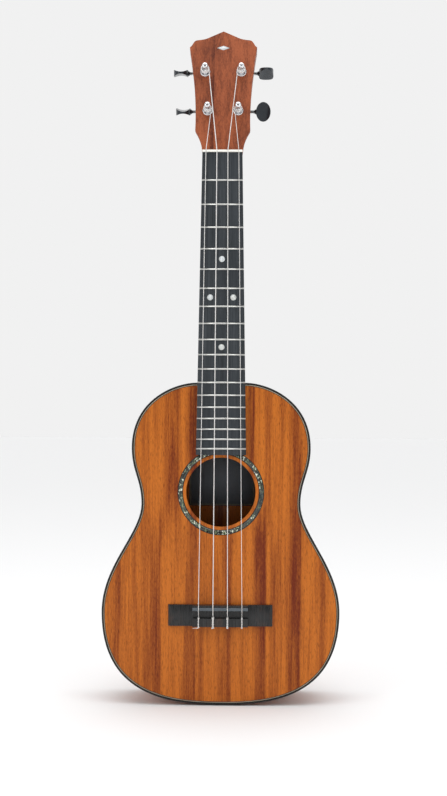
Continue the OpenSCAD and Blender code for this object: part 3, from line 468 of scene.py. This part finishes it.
# Node name: (material, edge radius)
LOOKS = {
    "top": (TOP_WOOD, 0.25 * MM),
    "back": (BODY_WOOD, 0.0),
    "side_bass": (BODY_WOOD, 0.0),
    "side_treble": (BODY_WOOD, 0.0),
    "binding_top": (BLACK_PLASTIC, 0.5 * MM),
    "binding_back": (BLACK_PLASTIC, 0.5 * MM),
    "purfling_pale": (PALE_PLASTIC, 0.0),
    "purfling_dark": (BLACK_PLASTIC, 0.0),
    "neck_block": (INNER_WOOD, 0.5 * MM),
    "tail_block": (INNER_WOOD, 0.5 * MM),
    "linings_top": (INNER_WOOD, 0.0),
    "linings_back": (INNER_WOOD, 0.0),
    "top_transverse_braces": (INNER_WOOD, 0.6 * MM),
    "top_fan_braces": (INNER_WOOD, 0.6 * MM),
    "bridge_plate": (INNER_WOOD, 0.3 * MM),
    "back_braces": (INNER_WOOD, 0.6 * MM),
    "rosette_shell": (ABALONE, 0.0),
    "rosette_borders": (BLACK_PLASTIC, 0.0),
    "label": (LABEL, 0.0),
    "neck": (NECK_WOOD, 0.0),
    "heel_cap": (BLACK_PLASTIC, 0.0),
    "headstock": (NECK_WOOD, 0.7 * MM),
    "headstock_veneer": (HEAD_WOOD, 0.4 * MM),
    "headstock_inlay": (PEARL, 0.0),
    "fingerboard": (BOARD_WOOD, 0.25 * MM),
    "frets": (FRET_METAL, 0.0),
    "position_dots": (PEARL, 0.0),
    "nut": (BONE, 0.25 * MM),
    "bridge": (BRIDGE_WOOD, 0.45 * MM),
    "saddle": (SADDLE_PLASTIC, 0.2 * MM),
    "tuner_plates": (CHROME, 0.25 * MM),
    "tuner_plate_screws": (CHROME, 0.2 * MM),
    "tuner_bushings": (CHROME, 0.2 * MM),
}
for string in STRINGS:
    LOOKS["post_" + string] = (CHROME, 0.25 * MM)
    LOOKS["gear_" + string] = (BRASS, 0.15 * MM)
    LOOKS["gear_screw_" + string] = (CHROME, 0.2 * MM)
    LOOKS["worm_" + string] = (NICKEL, 0.0)
    LOOKS["button_" + string] = (BUTTON_PLASTIC, 0.7 * MM)
for name, (material, edge) in LOOKS.items():
    finish_node(name, material, edge)


# Strings -------------------------------------------------------------------------------

TILT = math.radians(13)
# Radius, place at the nut and saddle in string gaps, and the post's place, in millimetres
STRING_DATA = {"g": (0.35, -1.5, -14.6, 46.3), "c": (0.5, -0.5, -17.4, 86.9),
               "e": (0.42, 0.5, 17.4, 86.9), "a": (0.32, 1.5, 14.6, 46.3)}
# Distance between neighbouring strings at the nut and at the saddle
NUT_GAP = 10.35
SADDLE_GAP = 13.8
# Where the strings rest on the nut and the saddle, and the saddle's place along the body
NUT_REST = -6.6
SADDLE_REST = -10.6
SADDLE_Z = -431.0
# The bridge's tie block: its two ends, its face, and the depth of its string holes
BLOCK_LOW = -448.1
BLOCK_HIGH = -440.1
BLOCK_TOP = -8.0
TIE_HOLE = -5.4
# The ties: how far the two strands turn round each other
TIE_TWIST = 3.1 * math.pi
# How far past the nut line the strings bend toward their posts
NUT_BEND = 3.5
# The winding on a post: turns, place before the headstock's face, inner radius and room between turns
COIL_TURNS = 2.75
COIL_START = -3.4
COIL_RADIUS = 3.1
COIL_GAP = 0.25
COIL_STEPS = 32
# The hole through a post, before the headstock's face
HOLE_DEPTH = -8.5
# Room between a string and what it rests on
LIFT = 0.03
# Share of a string's radius that its tubes are drawn with
DRAWN = 0.88
# Length of the loose end at the bridge, for the G string and for the others
LONG_TAIL = 5.0
SHORT_TAIL = 0.7


def on_head(x, depth, along):
    """A place in the headstock's frame: depth below its face and distance from the nut."""
    return Vector((x, depth * math.cos(TILT) + along * math.sin(TILT),
                   along * math.cos(TILT) - depth * math.sin(TILT)))


def rounded(points, radius, steps=5):
    """The route through the points with its corners rounded off."""
    route = [points[0]]
    for before, corner, after in zip(points, points[1:], points[2:]):
        reach = min(radius, (corner - before).length * 0.48, (after - corner).length * 0.48)
        start = corner + (before - corner).normalized() * reach
        end = corner + (after - corner).normalized() * reach
        for k in range(steps + 1):
            t = k / steps
            route.append(start * (1 - t) ** 2 + corner * 2 * t * (1 - t) + end * t ** 2)
    return route + [points[-1]]


def tube(route, radius):
    """A round tube along a route given in millimetres."""
    return sweep([p * MM for p in route], DRAWN * radius * MM)


def hoop(middle, radius, thickness):
    """One turn of string in the plane across the strings."""
    turn = [middle + Vector((radius * math.cos(a), radius * math.sin(a), 0.35 * thickness * a / math.pi))
            for a in (2 * math.pi * k / 20 for k in range(21))]
    return tube(turn, thickness)


def coil_angle(r, place, post_x, post_w):
    """Direction in which the string leaves the nut for its winding, on the outward side."""
    side = math.copysign(1, post_x)
    nut_y = NUT_REST - r - LIFT
    along = nut_y * math.sin(TILT) + NUT_BEND * math.cos(TILT)
    du = abs(post_x) - side * place * NUT_GAP
    dw = post_w - along
    return math.atan2(dw, du) + math.asin((COIL_RADIUS + r) / math.hypot(du, dw))


def string_run(r, place, post_x, post_w):
    """From the tie hole over the saddle and the nut to the winding on the post."""
    side = math.copysign(1, post_x)
    x, nut_x = place * SADDLE_GAP, place * NUT_GAP
    rest, nut_y = SADDLE_REST - r - LIFT, NUT_REST - r - LIFT
    heading = coil_angle(r, place, post_x, post_w)
    coil = []
    for k in range(int(COIL_TURNS * COIL_STEPS) + 1):
        a = heading + math.pi / 2 - 2 * math.pi * k / COIL_STEPS
        coil.append(on_head(side * (abs(post_x) + (COIL_RADIUS + r) * math.cos(a)),
                            COIL_START - (2 * r + COIL_GAP) * k / COIL_STEPS,
                            post_w + (COIL_RADIUS + r) * math.sin(a)))
    keys = [Vector((x, TIE_HOLE, BLOCK_LOW - 0.2)), Vector((x, TIE_HOLE, BLOCK_HIGH + 1.0)),
            Vector((x, rest, SADDLE_Z - 0.9)), Vector((x, rest, SADDLE_Z + 0.6)),
            Vector((nut_x, nut_y, 2.0)), Vector((nut_x, nut_y, NUT_BEND)), coil[0]]
    return rounded(keys, 1.4)[:-1] + coil


def tie(r, place, tail):
    """The string's end: back over the tie block, round itself and twisted with itself, with a
    loose end of the given length."""
    x = place * SADDLE_GAP
    side = math.copysign(1, place)
    pair = BLOCK_TOP - 2 * r - 0.12
    strands = []
    for phase in (0.0, math.pi):
        strand = []
        for k in range(17):
            t = k / 16
            a = phase + TIE_TWIST * t
            strand.append(Vector((x + r * 1.02 * math.cos(a), pair + r * math.sin(a),
                                  BLOCK_LOW + 0.3 + (BLOCK_HIGH - BLOCK_LOW - 0.6) * t)))
        strands.append(strand)
    over = rounded([Vector((x, TIE_HOLE, BLOCK_LOW - 0.1)), Vector((x, TIE_HOLE, BLOCK_LOW - 0.7 - r)),
                    Vector((x + 0.4 * r, pair - 0.2, BLOCK_LOW - 0.5 - r)), strands[0][0]], 0.8)[:-1]
    first, second = strands[0][-1], strands[1][-1]
    toward = r if first.x > x else -r
    under = rounded([first, Vector((first.x, pair, BLOCK_HIGH + 0.6 + r)),
                     Vector((x + 1.1 * toward, TIE_HOLE + 0.9, BLOCK_HIGH + 0.7 + r)),
                     Vector((x - 1.5 * toward, TIE_HOLE + 0.6, BLOCK_HIGH + 0.9 + r)),
                     Vector((second.x, pair - 0.3 * r, BLOCK_HIGH + 0.6 + r)), second], 0.8)[1:-1]
    last = strands[1][0]
    end = rounded([last, Vector((last.x, last.y + 0.2, BLOCK_LOW - 0.8 - r)),
                   Vector((last.x + side * 0.4 * tail, BLOCK_TOP + 0.8, BLOCK_LOW - 1.0 - r)),
                   Vector((last.x + side * tail, BLOCK_TOP + 1.4, BLOCK_LOW - 1.2 - r))],
                  0.8)[1:]
    route = over + strands[0] + under + strands[1][::-1] + end
    knots = [hoop(Vector((x, pair + 0.6 * r, BLOCK_HIGH + 0.15 + r)), 1.9 * r, 0.8 * r),
             hoop(Vector((x, pair + 0.6 * r, BLOCK_LOW - 0.25 - 1.1 * r)), 1.9 * r, 0.8 * r)]
    return [tube(route, r), *knots]


def wound_end(r, place, post_x, post_w):
    """The end that leaves the winding and goes through the post's hole."""
    side = math.copysign(1, post_x)
    a = coil_angle(r, place, post_x, post_w) + math.pi / 2 - 2 * math.pi * COIL_TURNS
    depth = COIL_START - (2 * r + COIL_GAP) * COIL_TURNS
    spots = [(COIL_RADIUS + r, a, depth - 0.1), (3.05 + r, a - 0.35, depth - 0.55),
             (3.0 + r, a - 0.6, depth - 1.1), (COIL_RADIUS + r, -math.pi / 2, HOLE_DEPTH + 0.1),
             (2.3, -math.pi / 2, HOLE_DEPTH)]
    route = [on_head(side * (abs(post_x) + reach * math.cos(b)), v, post_w + reach * math.sin(b))
             for reach, b, v in spots]
    route += [on_head(post_x, HOLE_DEPTH, post_w + 1.5), on_head(post_x, HOLE_DEPTH, post_w + 4.6)]
    return catmull(route, 5)


for string, data in STRING_DATA.items():
    tail = LONG_TAIL if string == "g" else SHORT_TAIL
    shape = joined([tube(string_run(*data), data[0]), *tie(data[0], data[1], tail)])
    piece("strung_" + string, shape, NYLON, replaces=("string_" + string,))
    piece("string_end_" + string, tube(wound_end(*data), min(data[0], 0.45)), NYLON,
          body="post_body_" + string)


# Stage ---------------------------------------------------------------------------------

FLOOR_REACH = 30.0
FLOOR_DROP = 1 * MM
FLOOR_COLOUR = (0.86, 0.862, 0.866)
# The world's brightness on the camera's side (-Y) and behind the object, and where it changes
WORLD_DIM = 0.34
WORLD_BRIGHT = 0.88
WORLD_CHANGE = (-0.55, 0.45)
# Area lights, all aimed at LIGHT_TARGET, as (name, place, size, power)
LIGHT_TARGET = (0.0, 0.0, -0.25)
AREA_LIGHTS = (("key_left", (-1.5, -1.3, 0.6), (0.9, 1.4), 10),
               ("key_right", (1.5, -1.3, 0.6), (0.9, 1.4), 8),
               ("top", (0.0, -0.6, 1.4), (1.6, 0.8), 6))
SUN_STRENGTH = 1.24
SUN_ANGLE = 70
# The camera's place, its turn in degrees, its lens and its shift
CAMERA_PLACE = (0.0205, -1.128, -0.258)
CAMERA_TURN = (88.2, -0.28, 0.93)
CAMERA_LENS = 53.37
CAMERA_SHIFT = 0.084


def plain(name, colour, rough):
    """Even paint for the floor."""
    paint = Paint(name, Roughness=rough)
    paint.shader.inputs["Base Color"].default_value = (*colour, 1.0)
    return paint.material


def floor():
    low = CAD_BOX[0].z - FLOOR_DROP
    size = FLOOR_REACH
    mesh = bpy.data.meshes.new("floor")
    corners = [(-size, -size, low), (size, -size, low), (size, size, low), (-size, size, low)]
    mesh.from_pydata(corners, [], [(0, 1, 2, 3)])
    mesh.materials.append(plain("floor_paint", FLOOR_COLOUR, 0.9))
    made = bpy.data.objects.new("floor", mesh)
    bpy.context.scene.collection.objects.link(made)


def area_light(name, place, size, power):
    data = bpy.data.lights.new(name, "AREA")
    data.shape = "RECTANGLE"
    data.size, data.size_y = size
    data.energy = power
    made = bpy.data.objects.new(name, data)
    made.location = place
    made.rotation_euler = (Vector(LIGHT_TARGET) - Vector(place)).to_track_quat("-Z", "Y").to_euler()
    bpy.context.scene.collection.objects.link(made)


def studio():
    world = bpy.data.worlds.new("studio")
    world.use_nodes = True
    # Bright behind the object, darker on the camera's side
    nodes, links = world.node_tree.nodes, world.node_tree.links
    direction = nodes.new("ShaderNodeSeparateXYZ")
    links.new(nodes.new("ShaderNodeTexCoord").outputs["Generated"], direction.inputs[0])
    side = nodes.new("ShaderNodeMapRange")
    side.interpolation_type = "SMOOTHSTEP"
    for socket, value in (("From Min", WORLD_CHANGE[0]), ("From Max", WORLD_CHANGE[1]),
                          ("To Min", WORLD_DIM), ("To Max", WORLD_BRIGHT)):
        side.inputs[socket].default_value = value
    links.new(direction.outputs[1], side.inputs["Value"])
    links.new(side.outputs[0], nodes["Background"].inputs["Strength"])
    nodes["Background"].inputs["Color"].default_value = (1.0, 1.0, 1.0, 1.0)
    bpy.context.scene.world = world
    for light in AREA_LIGHTS:
        area_light(*light)
    data = bpy.data.lights.new("overhead", "SUN")
    data.energy = SUN_STRENGTH
    data.angle = math.radians(SUN_ANGLE)
    made = bpy.data.objects.new("overhead", data)
    bpy.context.scene.collection.objects.link(made)


def camera():
    data = bpy.data.cameras.new("camera")
    data.lens = CAMERA_LENS
    data.shift_y = CAMERA_SHIFT
    made = bpy.data.objects.new("camera", data)
    made.location = CAMERA_PLACE
    made.rotation_euler = [math.radians(angle) for angle in CAMERA_TURN]
    bpy.context.scene.collection.objects.link(made)
    bpy.context.scene.camera = made


floor()
studio()
camera()
bpy.context.scene.view_settings.view_transform = "Standard"
